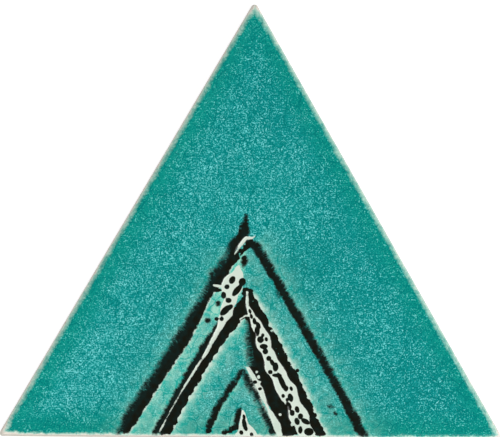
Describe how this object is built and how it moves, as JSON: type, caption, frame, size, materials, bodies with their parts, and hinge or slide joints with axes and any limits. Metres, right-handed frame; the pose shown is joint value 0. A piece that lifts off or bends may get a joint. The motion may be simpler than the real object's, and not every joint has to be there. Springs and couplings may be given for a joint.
{
  "type": "triangle tile",
  "caption": "Equilateral triangular wall tile of pale fired clay, with a turquoise crackle-glazed face, rounded face edges, drafted walls and a grooved back for mortar.",
  "frame": {"origin": "middle of the back, where the tile is bedded: the centre of the triangle, on the plane that the back lies in", "axes": "+Z out of the glazed face, +X along the base edge, +Y from the base edge to the corner opposite it"},
  "size_m": [0.1486, 0.129, 0.01],
  "materials": {
    "glazed_clay": "glossy turquoise crackle glaze on the face, with black glaze lines, over pale unglazed clay"
  },
  "bodies": {
    "root": {"triangle_tile": "glazed_clay"}
  },
  "joints": []
}
